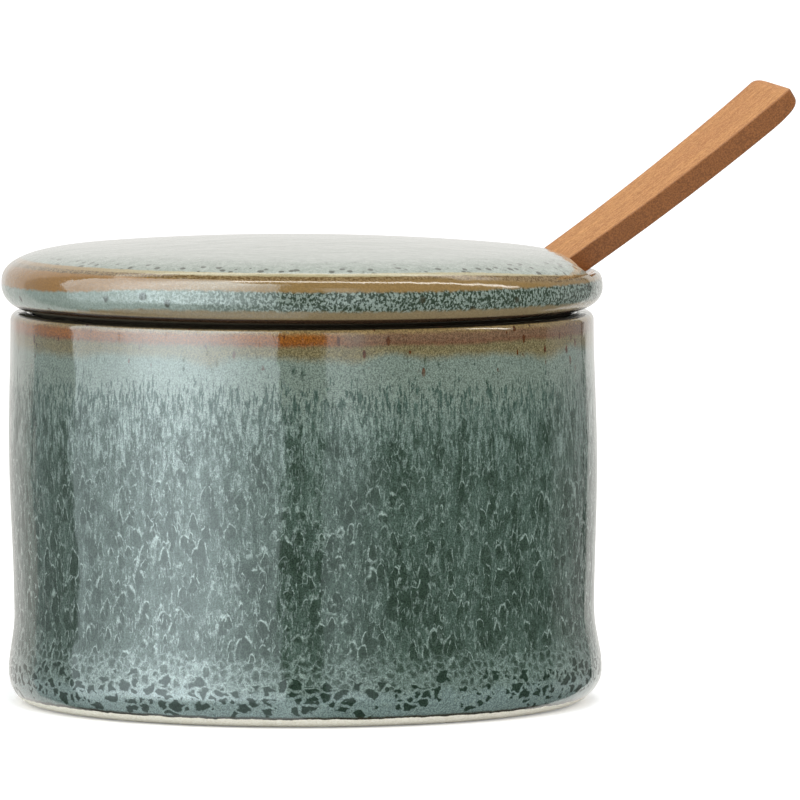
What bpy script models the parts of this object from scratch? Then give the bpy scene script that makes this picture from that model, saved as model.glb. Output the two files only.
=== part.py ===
"""A stoneware canister with a drop-on lid and a wooden spoon that leans out of a slot in the lid.

Three solids: jar, lid and spoon. Lengths are in metres and +Z is up. The jar stands on the XY plane with its
axis on Z, and the lid's slot is centred on +X.
"""

import math

import bmesh
import bpy
import numpy as np
from mathutils import Matrix, Vector

MM = 0.001

# Clearance that neighbouring pieces keep
SEAT_GAP = 0.3 * MM

# Jar
JAR_HEIGHT = 68.3 * MM
RIM_RADIUS = 50.95 * MM
RIM_EDGE_ROUND = 1.5 * MM
BELLY_SWELL = 0.45 * MM
WAIST_DIP = 0.65 * MM
BASE_FLARE = 0.95 * MM
BASE_FLARE_HEIGHT = 5.7 * MM
BASE_CORNER_ROUND = 5.2 * MM
FOOT_INSET = 3.75 * MM
FOOT_RADIUS = RIM_RADIUS - FOOT_INSET
WALL_THICKNESS = 3.65 * MM
MOUTH_RADIUS = RIM_RADIUS - WALL_THICKNESS
MOUTH_EDGE_ROUND = 1.0 * MM
FLOOR_THICKNESS = 6.0 * MM
FLOOR_CORNER_ROUND = 6.0 * MM

# Heights of the waist and the belly, as shares of the wall between the base's flare and the rim
WAIST_HEIGHT_SHARE = 0.16
BELLY_HEIGHT_SHARE = 0.60

# Lid, whose rounded edge sits a little lower on the slot's side
LID_OVERHANG = 1.55 * MM
LID_RADIUS = RIM_RADIUS + LID_OVERHANG
LID_THICKNESS = 12.55 * MM
LID_CROWN_RISE = 1.55 * MM
LID_SHOULDER_WIDTH = 15.0 * MM
LID_LEAN = 0.3 * MM
LID_UNDERCUT_WIDTH = 5.0 * MM
LID_UNDERCUT_RISE = 4.15 * MM
LID_WALL = 4.8 * MM
FLANGE_PLAY = 0.5 * MM
FLANGE_DEPTH = 3.2 * MM
FLANGE_THICKNESS = 3.6 * MM
FLANGE_EDGE_ROUND = 0.8 * MM
HOLLOW_CORNER_ROUND = 4.0 * MM

# Exponents of the lid's shoulder, across and down
SHOULDER_ACROSS_SHARE = 3.2
SHOULDER_DOWN_SHARE = 2.8

# Slot through the lid's shoulder: a chord on its inner side, and a lip that follows the lid's edge
SLOT_LIP_INSET = 0.9 * MM
SLOT_TOP_ROOM = 1.15 * MM
SLOT_CORNER_ROUND = 0.8 * MM
SLOT_EDGE_ROUND = 0.6 * MM

# Spoon
SPOON_LENGTH = 160.45 * MM
BOWL_LENGTH = 42.0 * MM
BOWL_WIDTH = 26.0 * MM
BOWL_BELLY = 3.6 * MM
BOWL_HOLLOW = 4.6 * MM
BOWL_RIM = 1.7 * MM
BOWL_DROP = 2.0 * MM
NECK_WIDTH = 7.6 * MM
HANDLE_WIDTH = 10.2 * MM
HANDLE_END_WIDTH = 12.8 * MM
HANDLE_THICKNESS = 3.95 * MM
HANDLE_END_ROUND = 3.4 * MM
HANDLE_END_UNDERCUT = 2.6 * MM
HANDLE_BOW_START = 114.75 * MM
HANDLE_BOW_RADIUS = 484.0 * MM
SPOON_TILT = math.radians(34.4)
SPOON_ROLL = math.radians(13.0)
SPOON_SIDE_REST = 6.8 * MM
SPOON_TIP_ROOM = 3.0 * MM

# Exponents of the spoon's section, from the crisp handle to the oval bowl, and how soon it turns oval
HANDLE_SECTION_SHARE = 40.0
BOWL_SECTION_SHARE = 2.8
OVAL_ONSET_SHARE = 1.6

# Exponents of the handle's rounded end and of the blend from handle to bowl
END_CORNER_SHARE = 3
WIDTH_BLEND_SHARE = 4

# Thickness left at the handle's end, as a share of the handle's
END_THICKNESS_SHARE = 0.25

# Resolution of the round forms
TURN_STEPS = 72
SLOT_STEPS = 24
SLOT_CORNER_STEPS = 4
SPOON_SECTION_STEPS = 32
SEARCH_STEPS = 40
OVERRUN = 2.0 * MM
SAME_POINT = SEAT_GAP / 100
CREASE = math.radians(35)


def arc(centre_r, centre_z, size_r, size_z, start, end, steps):
    """Points of an elliptical arc in the (radius, height) plane, angles in degrees from +radius."""
    angles = np.radians(np.linspace(start, end, steps + 1))
    return list(zip(centre_r + size_r * np.cos(angles), centre_z + size_z * np.sin(angles)))


def without_doubles(points):
    """The points with repeated neighbours dropped."""
    kept = [points[0]]
    for point in points[1:]:
        if math.dist(point, kept[-1]) > SAME_POINT:
            kept.append(point)
    return kept


def make_material(name, colour, roughness, metallic=0.0):
    material = bpy.data.materials.new(name)
    material.use_nodes = True
    shader = material.node_tree.nodes["Principled BSDF"]
    shader.inputs["Base Color"].default_value = (*colour, 1.0)
    shader.inputs["Roughness"].default_value = roughness
    shader.inputs["Metallic"].default_value = metallic
    return material


def add_object(name, mesh, material):
    mesh.materials.append(material)
    mesh.shade_smooth()
    mesh.set_sharp_from_angle(angle=CREASE)
    piece = bpy.data.objects.new(name, mesh)
    bpy.context.scene.collection.objects.link(piece)
    return piece


def turned_mesh(name, outline):
    """A closed body of revolution: the outline starts and ends on the axis and runs down its outer side."""
    outline = without_doubles(outline)
    shape = bmesh.new()
    corners = [shape.verts.new((max(radius, 0.0), 0.0, height)) for radius, height in outline]
    edges = [shape.edges.new(pair) for pair in zip(corners, corners[1:])]
    bmesh.ops.spin(
        shape,
        geom=corners + edges,
        cent=(0.0, 0.0, 0.0),
        axis=(0.0, 0.0, 1.0),
        angle=2 * math.pi,
        steps=TURN_STEPS,
        use_merge=True,
    )
    bmesh.ops.remove_doubles(shape, verts=shape.verts, dist=SAME_POINT)
    bmesh.ops.recalc_face_normals(shape, faces=shape.faces)
    mesh = bpy.data.meshes.new(name)
    shape.to_mesh(mesh)
    shape.free()
    return mesh


def lofted_mesh(name, rings):
    """A closed skin over rings of equal length. A ring whose points coincide closes to a single point."""
    shape = bmesh.new()
    rows = [[shape.verts.new(point) for point in ring] for ring in rings]
    count = len(rows[0])
    for lower, upper in zip(rows, rows[1:]):
        for i in range(count):
            j = (i + 1) % count
            shape.faces.new((lower[i], lower[j], upper[j], upper[i]))
    shape.faces.new(reversed(rows[0]))
    shape.faces.new(rows[-1])
    bmesh.ops.remove_doubles(shape, verts=shape.verts, dist=SAME_POINT)
    bmesh.ops.recalc_face_normals(shape, faces=shape.faces)
    mesh = bpy.data.meshes.new(name)
    shape.to_mesh(mesh)
    shape.free()
    return mesh


def wall_radius(height):
    """Outer radius of the jar's wall, which waists above the flared base and swells at mid-height."""
    base_radius = RIM_RADIUS + BASE_FLARE
    heights = [
        BASE_FLARE_HEIGHT,
        BASE_FLARE_HEIGHT + WAIST_HEIGHT_SHARE * (JAR_HEIGHT - BASE_FLARE_HEIGHT),
        BASE_FLARE_HEIGHT + BELLY_HEIGHT_SHARE * (JAR_HEIGHT - BASE_FLARE_HEIGHT),
        JAR_HEIGHT,
    ]
    radii = [base_radius, RIM_RADIUS - WAIST_DIP + BELLY_SWELL, RIM_RADIUS + BELLY_SWELL, RIM_RADIUS]
    for low, high, start, end in zip(heights, heights[1:], radii, radii[1:]):
        if height <= high:
            share = (height - low) / (high - low)
            eased = (1 - math.cos(math.pi * share)) / 2
            return start + (end - start) * eased
    return RIM_RADIUS


def jar_outline():
    """From the middle of the floor up the inside, over the rim and down the outside to the foot."""
    floor_round_r = MOUTH_RADIUS - FLOOR_CORNER_ROUND
    floor_round_z = FLOOR_THICKNESS + FLOOR_CORNER_ROUND
    points = [(0.0, FLOOR_THICKNESS), (floor_round_r / 2, FLOOR_THICKNESS)]
    points += arc(floor_round_r, floor_round_z, FLOOR_CORNER_ROUND, FLOOR_CORNER_ROUND, -90, 0, 5)
    points += arc(
        MOUTH_RADIUS + MOUTH_EDGE_ROUND,
        JAR_HEIGHT - MOUTH_EDGE_ROUND,
        MOUTH_EDGE_ROUND,
        MOUTH_EDGE_ROUND,
        180,
        90,
        3,
    )
    edge_z = JAR_HEIGHT - RIM_EDGE_ROUND
    edge_r = wall_radius(edge_z) - RIM_EDGE_ROUND
    points += arc(edge_r, edge_z, RIM_EDGE_ROUND, RIM_EDGE_ROUND, 90, 0, 4)
    for height in np.linspace(edge_z, BASE_FLARE_HEIGHT, 13)[1:-1]:
        points.append((wall_radius(height), height))
    corner_r = wall_radius(BASE_FLARE_HEIGHT) - BASE_CORNER_ROUND
    points += arc(corner_r, BASE_FLARE_HEIGHT, BASE_CORNER_ROUND, BASE_FLARE_HEIGHT, 0, -80, 8)
    points += [(FOOT_RADIUS, 0.0), (FOOT_RADIUS / 2, 0.0), (0.0, 0.0)]
    return points


def lid_base():
    """Height of the lid's flat seat."""
    return JAR_HEIGHT + SEAT_GAP


def lid_widest():
    """Height at which the lid is widest."""
    return lid_base() + LID_UNDERCUT_RISE


def crown_height(radius):
    """Height of the lid's gently domed crown, a parabola."""
    shoulder_r = LID_RADIUS - LID_SHOULDER_WIDTH
    return lid_base() + LID_THICKNESS - LID_CROWN_RISE * (radius / shoulder_r) ** 2


def lid_top_height(radius):
    """Height of the lid's top: the crown, which a superellipse brings down to the widest ring."""
    across = max(0.0, radius - LID_RADIUS + LID_SHOULDER_WIDTH) / LID_SHOULDER_WIDTH
    share = max(0.0, 1 - across**SHOULDER_ACROSS_SHARE) ** (1 / SHOULDER_DOWN_SHARE)
    return lid_widest() + (crown_height(radius) - lid_widest()) * share


def shoulder_points(steps):
    """The lid's shoulder from the domed middle to the widest ring."""
    points = []
    for angle in np.linspace(0, math.pi / 2, steps + 1):
        across = math.sin(angle) ** (2 / SHOULDER_ACROSS_SHARE)
        radius = LID_RADIUS - LID_SHOULDER_WIDTH * (1 - across)
        share = math.cos(angle) ** (2 / SHOULDER_DOWN_SHARE)
        points.append((radius, lid_widest() + (crown_height(radius) - lid_widest()) * share))
    return points


def lid_outline():
    """From the crown down over the shoulder, under the edge, round the flange and up into the hollow."""
    points = []
    for share in np.linspace(0, 1, 7)[:-1]:
        radius = share * (LID_RADIUS - LID_SHOULDER_WIDTH)
        points.append((radius, crown_height(radius)))
    points += shoulder_points(14)
    points += arc(
        LID_RADIUS - LID_UNDERCUT_WIDTH,
        lid_widest(),
        LID_UNDERCUT_WIDTH,
        LID_UNDERCUT_RISE,
        0,
        -90,
        8,
    )
    flange_r = MOUTH_RADIUS - FLANGE_PLAY
    flange_z = lid_base() - FLANGE_DEPTH
    points.append((flange_r, lid_base()))
    points += arc(
        flange_r - FLANGE_EDGE_ROUND,
        flange_z + FLANGE_EDGE_ROUND,
        FLANGE_EDGE_ROUND,
        FLANGE_EDGE_ROUND,
        0,
        -90,
        3,
    )
    inner_r = flange_r - FLANGE_THICKNESS
    points += arc(
        inner_r + FLANGE_EDGE_ROUND,
        flange_z + FLANGE_EDGE_ROUND,
        FLANGE_EDGE_ROUND,
        FLANGE_EDGE_ROUND,
        -90,
        -180,
        3,
    )
    corner_r = inner_r - HOLLOW_CORNER_ROUND
    ceiling_z = crown_height(corner_r) - LID_WALL
    points += arc(
        corner_r,
        ceiling_z - HOLLOW_CORNER_ROUND,
        HOLLOW_CORNER_ROUND,
        HOLLOW_CORNER_ROUND,
        0,
        90,
        5,
    )
    for share in np.linspace(1, 0, 5)[1:]:
        points.append((share * corner_r, crown_height(share * corner_r) - LID_WALL))
    return points


def lid_lean(x, height):
    """How far a point of the lid sinks towards the slot's side. The flat seat stays level."""
    share = min(1.0, max(0.0, (height - lid_base()) / LID_UNDERCUT_RISE))
    return LID_LEAN * x / LID_RADIUS * share


def lid_surface(x, y):
    """Height of the lid's top over a point."""
    height = lid_top_height(math.hypot(x, y))
    return height - lid_lean(x, height)


def slot_ends():
    """The slot's chord and its lip, as distances from the lid's axis.

    Square to its slant the slot is as high as the rolled handle, with room above it.
    """
    height = HANDLE_THICKNESS * math.cos(SPOON_ROLL) + HANDLE_WIDTH * math.sin(SPOON_ROLL) + SLOT_TOP_ROOM
    lip = LID_RADIUS - SLOT_LIP_INSET
    near, far = 0.0, lip
    for _ in range(SEARCH_STEPS):
        chord = (near + far) / 2
        rise = lid_surface(chord, 0.0) - lid_surface(lip, 0.0)
        if (lip - chord) * math.sin(SPOON_TILT) + rise * math.cos(SPOON_TILT) > height:
            near = chord
        else:
            far = chord
    return chord, lip


def slot_outline(flare):
    """The slot seen from above, grown by a flare: the lip's arc and the chord, with rounded corners."""
    chord, lip = slot_ends()
    corner_x = chord + SLOT_CORNER_ROUND
    corner_y = math.sqrt((lip - SLOT_CORNER_ROUND) ** 2 - corner_x**2)
    reach = math.degrees(math.atan2(corner_y, corner_x))
    size = SLOT_CORNER_ROUND + flare
    points = arc(0.0, 0.0, lip + flare, lip + flare, -reach, reach, SLOT_STEPS)
    points += arc(corner_x, corner_y, size, size, reach, 180, SLOT_CORNER_STEPS)[1:]
    chord_y = np.linspace(corner_y, -corner_y, SLOT_STEPS + 1)[1:]
    points += [(chord - flare, y) for y in chord_y]
    points += arc(corner_x, -corner_y, size, size, 180, 360 - reach, SLOT_CORNER_STEPS)[1:-1]
    return points


def slot_rings():
    """Rings of the slot's cutter, which follow the lid's top and sink along the handle's slant."""
    deepest = (LID_THICKNESS + FLANGE_DEPTH + OVERRUN) / math.sin(SPOON_TILT)
    levels = [(SLOT_EDGE_ROUND, -OVERRUN)]
    for angle in np.radians((15, 35, 55, 75, 90)):
        levels.append((SLOT_EDGE_ROUND * (1 - math.sin(angle)), SLOT_EDGE_ROUND * (1 - math.cos(angle))))
    levels.append((0.0, deepest))
    rings = []
    for flare, depth in levels:
        shift_x = -depth * math.cos(SPOON_TILT)
        shift_z = -depth * math.sin(SPOON_TILT)
        outline = slot_outline(flare)
        rings.append([(x + shift_x, y, lid_surface(x, y) + shift_z) for x, y in outline])
    return rings


def bowl_share(along):
    """How far into the bowl a station is: 0 at its tip and at its neck, 1 in its middle."""
    middle = BOWL_LENGTH / 2
    return math.sqrt(max(0.0, 1 - ((along - middle) / middle) ** 2))


def tip_share(along):
    """How far the bowl's rounded tip has widened at a station, from 0 to 1."""
    rest = 1 - min(1.0, along / (BOWL_LENGTH / 2))
    return math.sqrt(1 - rest**2)


def spoon_half_width(along):
    """Half the spoon's width at a distance from the bowl's tip, blended from the handle's and the bowl's."""
    stations = (0.0, BOWL_LENGTH, HANDLE_BOW_START, SPOON_LENGTH)
    handle = np.interp(along, stations, (NECK_WIDTH, NECK_WIDTH, HANDLE_WIDTH, HANDLE_END_WIDTH))
    start = SPOON_LENGTH - HANDLE_END_ROUND
    if along > start:
        handle *= (1 - ((along - start) / HANDLE_END_ROUND) ** END_CORNER_SHARE) ** (1 / END_CORNER_SHARE)
    handle *= tip_share(along)
    bowl = BOWL_WIDTH * bowl_share(along)
    return (handle**WIDTH_BLEND_SHARE + bowl**WIDTH_BLEND_SHARE) ** (1 / WIDTH_BLEND_SHARE) / 2


def spoon_ring(along):
    """The spoon's section at a station: a crisp rectangle along the handle, a hollowed oval at the bowl."""
    blend = bowl_share(along) if along < BOWL_LENGTH else 0.0
    half_width = spoon_half_width(along)
    top = HANDLE_THICKNESS / 2 * tip_share(along)
    bottom = top + BOWL_BELLY * blend
    start = SPOON_LENGTH - HANDLE_END_UNDERCUT
    if along > start:
        curve = math.sqrt(1 - ((along - start) / HANDLE_END_UNDERCUT) ** 2)
        left = END_THICKNESS_SHARE + (1 - END_THICKNESS_SHARE) * curve
        bottom = HANDLE_THICKNESS * left - HANDLE_THICKNESS / 2
    oval = min(1.0, blend * OVAL_ONSET_SHARE)
    power = 2 / (HANDLE_SECTION_SHARE + (BOWL_SECTION_SHARE - HANDLE_SECTION_SHARE) * oval)
    drop = BOWL_DROP * math.sin(math.pi / 2 * blend)
    rise = max(0.0, along - HANDLE_BOW_START) ** 2 / (2 * HANDLE_BOW_RADIUS)
    inner = max(half_width - BOWL_RIM, SAME_POINT)
    ring = []
    for angle in np.linspace(0, 2 * math.pi, SPOON_SECTION_STEPS, endpoint=False):
        across = math.copysign(abs(math.cos(angle)) ** power, math.cos(angle)) * half_width
        level = math.copysign(abs(math.sin(angle)) ** power, math.sin(angle))
        height = level * (top if level > 0 else bottom)
        if level > 0 and blend > 0:
            height -= BOWL_HOLLOW * blend**2 * max(0.0, 1 - (across / inner) ** 2)
        ring.append((along, across, height - drop + rise))
    return ring


def spoon_stations():
    """Distances from the bowl's tip at which the spoon has a section."""
    middle = BOWL_LENGTH / 2
    bowl = [middle * (1 - math.cos(angle)) for angle in np.linspace(0, math.pi, 17)]
    straight = list(np.linspace(BOWL_LENGTH, HANDLE_BOW_START, 5))[1:]
    bowed = list(np.linspace(HANDLE_BOW_START, SPOON_LENGTH - HANDLE_END_ROUND, 7))[1:]
    angles = np.linspace(0, math.pi / 2, 8)[1:-1]
    end = [SPOON_LENGTH - HANDLE_END_ROUND * (1 - math.sin(angle)) for angle in angles]
    return bowl + straight + bowed + end + [SPOON_LENGTH - 10 * SAME_POINT]


def spoon_axes():
    """Unit vectors along the handle outwards, across it towards +Y, and square to its top face."""
    along = Vector((math.cos(SPOON_TILT), 0.0, math.sin(SPOON_TILT)))
    across = Matrix.Rotation(SPOON_ROLL, 3, along) @ Vector((0.0, 1.0, 0.0))
    return along, across, along.cross(across)


def spoon_matrix(inside_length):
    """Places the spoon with its near lower edge on the slot's lip, this far up from the bowl's tip."""
    along, across, normal = spoon_axes()
    lip = slot_ends()[1]
    rest_x = math.sqrt(lip**2 - SPOON_SIDE_REST**2)
    rest = Vector((rest_x, -SPOON_SIDE_REST, lid_surface(rest_x, SPOON_SIDE_REST)))
    lift = Vector((-math.sin(SPOON_TILT), 0.0, math.cos(SPOON_TILT)))
    edge = rest + lift * SEAT_GAP
    origin = edge + across * spoon_half_width(inside_length) + normal * (HANDLE_THICKNESS / 2)
    origin -= along * inside_length
    turn = Matrix((along, across, normal)).transposed().to_4x4()
    return Matrix.Translation(origin) @ turn


def room_in_jar(points):
    """The least distance from the points to the jar's inside, below the rim."""
    radii = np.hypot(points[:, 0], points[:, 1])
    heights = points[:, 2]
    room = np.minimum(MOUTH_RADIUS - radii, heights - FLOOR_THICKNESS)
    corner_r = radii - (MOUTH_RADIUS - FLOOR_CORNER_ROUND)
    corner_z = FLOOR_THICKNESS + FLOOR_CORNER_ROUND - heights
    in_corner = (corner_r > 0) & (corner_z > 0)
    room[in_corner] = FLOOR_CORNER_ROUND - np.hypot(corner_r, corner_z)[in_corner]
    return room[heights < JAR_HEIGHT - RIM_EDGE_ROUND].min()


def seated_length(rings):
    """Length of the spoon below the lip when its bowl rests in the jar."""
    points = np.array([point for ring in rings for point in ring])
    short, long = BOWL_LENGTH, SPOON_LENGTH
    for _ in range(SEARCH_STEPS):
        middle = (short + long) / 2
        placed = np.array(spoon_matrix(middle))
        if room_in_jar(points @ placed[:3, :3].T + placed[:3, 3]) > SPOON_TIP_ROOM:
            short = middle
        else:
            long = middle
    return short


def make_jar():
    glaze = make_material("jar_glaze", (0.10, 0.17, 0.15), 0.12)
    return add_object("jar", turned_mesh("jar", jar_outline()), glaze)


def make_lid():
    glaze = make_material("lid_glaze", (0.36, 0.41, 0.37), 0.12)
    cutter = bpy.data.objects.new("slot_cutter", lofted_mesh("slot_cutter", slot_rings()))
    bpy.context.scene.collection.objects.link(cutter)
    cutter.hide_render = True
    cutter.display_type = "WIRE"
    mesh = turned_mesh("lid", lid_outline())
    for corner in mesh.vertices:
        corner.co.z -= lid_lean(corner.co.x, corner.co.z)
    lid = add_object("lid", mesh, glaze)
    cut = lid.modifiers.new("slot", "BOOLEAN")
    cut.operation = "DIFFERENCE"
    cut.solver = "EXACT"
    cut.object = cutter
    return lid


def make_spoon():
    wood = make_material("spoon_wood", (0.50, 0.24, 0.09), 0.55)
    rings = [spoon_ring(along) for along in spoon_stations()]
    spoon = add_object("spoon", lofted_mesh("spoon", rings), wood)
    spoon.matrix_world = spoon_matrix(seated_length(rings))
    return spoon


def main():
    for thing in list(bpy.data.objects):
        bpy.data.objects.remove(thing, do_unlink=True)
    bpy.context.scene.unit_settings.scale_length = 1.0
    make_jar()
    make_lid()
    make_spoon()


main()
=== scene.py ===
"""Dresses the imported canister: a reactive glaze on jar and lid, close-grained wood, a pale studio."""

import math

import bmesh
import bpy
import numpy as np
from mathutils import Matrix, Vector


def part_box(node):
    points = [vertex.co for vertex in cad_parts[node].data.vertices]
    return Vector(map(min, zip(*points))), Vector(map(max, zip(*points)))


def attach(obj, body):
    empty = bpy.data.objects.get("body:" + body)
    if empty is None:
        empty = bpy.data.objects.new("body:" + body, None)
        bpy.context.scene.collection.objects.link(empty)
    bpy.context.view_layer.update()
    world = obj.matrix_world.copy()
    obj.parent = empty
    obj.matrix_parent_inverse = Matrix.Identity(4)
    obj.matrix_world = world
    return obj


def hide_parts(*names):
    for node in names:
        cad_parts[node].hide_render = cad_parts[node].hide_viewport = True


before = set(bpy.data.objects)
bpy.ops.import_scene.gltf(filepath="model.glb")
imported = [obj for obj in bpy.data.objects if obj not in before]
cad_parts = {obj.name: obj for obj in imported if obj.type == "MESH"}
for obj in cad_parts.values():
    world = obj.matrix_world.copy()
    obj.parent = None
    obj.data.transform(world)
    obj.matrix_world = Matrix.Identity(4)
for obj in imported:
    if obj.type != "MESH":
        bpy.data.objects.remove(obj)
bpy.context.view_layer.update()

bl_info = {
    "name": "Stoneware canister",
    "version": (1, 0, 0),
    "blender": (4, 5, 0),
    "location": "3D View > Sidebar > Canister",
    "description": "Builds the looks of a stoneware canister with a lid and a wooden spoon",
    "category": "Object",
}

SPOON_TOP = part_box("spoon")[1][2]

MM = 0.001
SAME_POINT = 0.003 * MM
CREASE = math.radians(40)
HALVINGS = 40

# The photograph looks along +Y after this turn of the frame about Z
PHOTO_TURN = math.radians(14.0)

# Jar, as in the solids
SEAT_GAP = 0.3 * MM
JAR_HEIGHT = 68.3 * MM
RIM_RADIUS = 50.95 * MM
RIM_EDGE_ROUND = 1.5 * MM
BELLY_SWELL = 0.45 * MM
WAIST_DIP = 0.65 * MM
BASE_FLARE = 0.95 * MM
BASE_FLARE_HEIGHT = 5.7 * MM
BASE_CORNER_ROUND = 5.2 * MM
FOOT_RADIUS = 47.2 * MM
MOUTH_RADIUS = 47.3 * MM
MOUTH_EDGE_ROUND = 1.0 * MM
FLOOR_THICKNESS = 6.0 * MM
FLOOR_CORNER_ROUND = 6.0 * MM
WAIST_HEIGHT_SHARE = 0.16
BELLY_HEIGHT_SHARE = 0.60

# How far the hand-made wall wanders sideways, by height
DRIFT_HEIGHTS = np.array((0.0, 0.6, 2.0, 4.3, 8.5, 17.0, 25.0, 42.0, 62.0)) * MM
DRIFTS = np.array((0.0, 0.0, 0.2, 0.5, 0.55, 0.35, 0.33, 0.17, 0.0)) * MM

# Lid and its slot, as in the solids
LID_RADIUS = 52.5 * MM
LID_THICKNESS = 12.55 * MM
LID_CROWN_RISE = 1.55 * MM
LID_SHOULDER_WIDTH = 15.0 * MM
LID_LEAN = 0.3 * MM
LID_UNDERCUT_WIDTH = 5.0 * MM
LID_UNDERCUT_RISE = 4.15 * MM
LID_WALL = 4.8 * MM
FLANGE_PLAY = 0.5 * MM
FLANGE_DEPTH = 3.2 * MM
FLANGE_THICKNESS = 3.6 * MM
FLANGE_EDGE_ROUND = 0.8 * MM
HOLLOW_CORNER_ROUND = 4.0 * MM
SHOULDER_ACROSS = 3.2
SHOULDER_DOWN = 2.8
SLOT_LIP_INSET = 0.9 * MM
SLOT_TOP_ROOM = 1.15 * MM
SLOT_CORNER_ROUND = 0.8 * MM
SLOT_EDGE_ROUND = 0.6 * MM
OVERRUN = 2.0 * MM
SQUARE_ENOUGH = 0.03
LID_BASE = JAR_HEIGHT + SEAT_GAP
LID_WIDEST = LID_BASE + LID_UNDERCUT_RISE
SHOULDER_RADIUS = LID_RADIUS - LID_SHOULDER_WIDTH

# Spoon, as in the solids but for its worn end
SPOON_LENGTH = 160.45 * MM
BOWL_LENGTH = 42.0 * MM
BOWL_WIDTH = 26.0 * MM
BOWL_BELLY = 3.6 * MM
BOWL_HOLLOW = 4.6 * MM
BOWL_RIM = 1.7 * MM
BOWL_DROP = 2.0 * MM
NECK_WIDTH = 7.6 * MM
HANDLE_WIDTH = 10.2 * MM
HANDLE_END_WIDTH = 12.8 * MM
HANDLE_THICKNESS = 3.95 * MM
HANDLE_END_ROUND = 3.4 * MM
HANDLE_END_UNDERCUT = 6.8 * MM
HANDLE_END_NOSE = 3.0 * MM
HANDLE_END_SKEW_LENGTH = 8.0 * MM
HANDLE_END_SHORTER = 0.45 * MM
HANDLE_END_SKEW = 0.80 * MM
HANDLE_BOW_START = 114.75 * MM
HANDLE_BOW_RADIUS = 484.0 * MM
SPOON_TILT = math.radians(34.4)
SPOON_ROLL = math.radians(13.0)
SPOON_SIDE_REST = 6.8 * MM
HANDLE_SECTION = 40.0
BOWL_SECTION = 2.8
OVAL_ONSET = 1.6
END_CORNER = 3
WIDTH_BLEND = 4
END_TOP_SHARE = 0.07
END_BOTTOM_SHARE = -0.03
END_STOP = 10 * SAME_POINT
SPOON_STEPS = 96
# Where the painted shade on the spoon's flanks starts across the half width, and how softly it comes in
SHADED_FLANK_START = 0.9
SHADED_FLANK_SOFTNESS = 0.08

# Gloss of the glaze: its base layer, its coat, the coat's share on the dark, what bare clay adds
GLAZE_IOR = 1.33
COAT_IOR = 1.5
COAT_ROUGHNESS = 0.04
DARK_COAT = 0.25
BARE_ROUGHNESS = 0.7

# The stage. The camera's places lie towards the picture's right, away from the viewer and up
CAMERA_PLACE = (0.0, -1.70, 0.170)
CAMERA_TARGET = (17.1 * MM, 0.0, 52.6 * MM)
CAMERA_SENSOR = 36.0
CAMERA_LENS = 438.75
CAMERA_REACH = 20.0
FLOOR_SIZE = 6.0
FLOOR_DROP = 0.05 * MM
ROOM_GLOSS = 0.05
LAMP_BEARING = math.radians(18.0)
LAMP_CLIMB = math.radians(62.0)
LAMP_DISTANCE = 1.3
LAMP_SIZE = 0.8
LAMP_POWER = 6.4
COOL, WHITE, WARM = (0.86, 1.0, 1.05), (1.0, 1.0, 1.0), (1.0, 0.99, 0.95)

# Heights where zones of the glazes start and where they are full, in millimetres
PALE_BAND = (46.0, 58.0)
BARE_FOOT = (1.98, 1.86)
LID_TAN_EDGE = (74.1, 74.7)

# The drops' size, stretch, least chance and top, and the rim's specks by spacing, radius, share and foot
DROPS = ((3.0, 1.7, 0.35, 50.0), (1.8, 1.8, 0.35, 54.0))
RIM_SPECKS = ((2.6, 0.36, 0.8, 57.5), (1.9, 0.22, 0.6, 61.0))


# Shapes


def arc(centre_r, centre_z, size_r, size_z, start, end, steps):
    """Rows (r, z) of an elliptical arc: centre plus size times cosine and sine of an angle in degrees."""
    angles = np.radians(np.linspace(start, end, steps + 1))
    return np.stack([centre_r + size_r * np.cos(angles), centre_z + size_z * np.sin(angles)], axis=1)


def line(start, end, steps):
    """Rows of a straight line from start to end, both included."""
    return np.linspace(start, end, steps + 1)


def wall_radius(height):
    """The jar's outer radius at each height, cosine-eased from the flared base to waist, belly and rim."""
    span = JAR_HEIGHT - BASE_FLARE_HEIGHT
    waist = BASE_FLARE_HEIGHT + WAIST_HEIGHT_SHARE * span
    belly = BASE_FLARE_HEIGHT + BELLY_HEIGHT_SHARE * span
    knots = np.array((BASE_FLARE_HEIGHT, waist, belly, JAR_HEIGHT))
    swells = np.array((BASE_FLARE, BELLY_SWELL - WAIST_DIP, BELLY_SWELL, 0.0))
    step = np.clip(np.searchsorted(knots, height, side="left") - 1, 0, 2)
    share = (height - knots[step]) / (knots[step + 1] - knots[step])
    eased = (1 - np.cos(np.pi * share)) / 2
    return RIM_RADIUS + swells[step] + (swells[step + 1] - swells[step]) * eased


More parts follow.
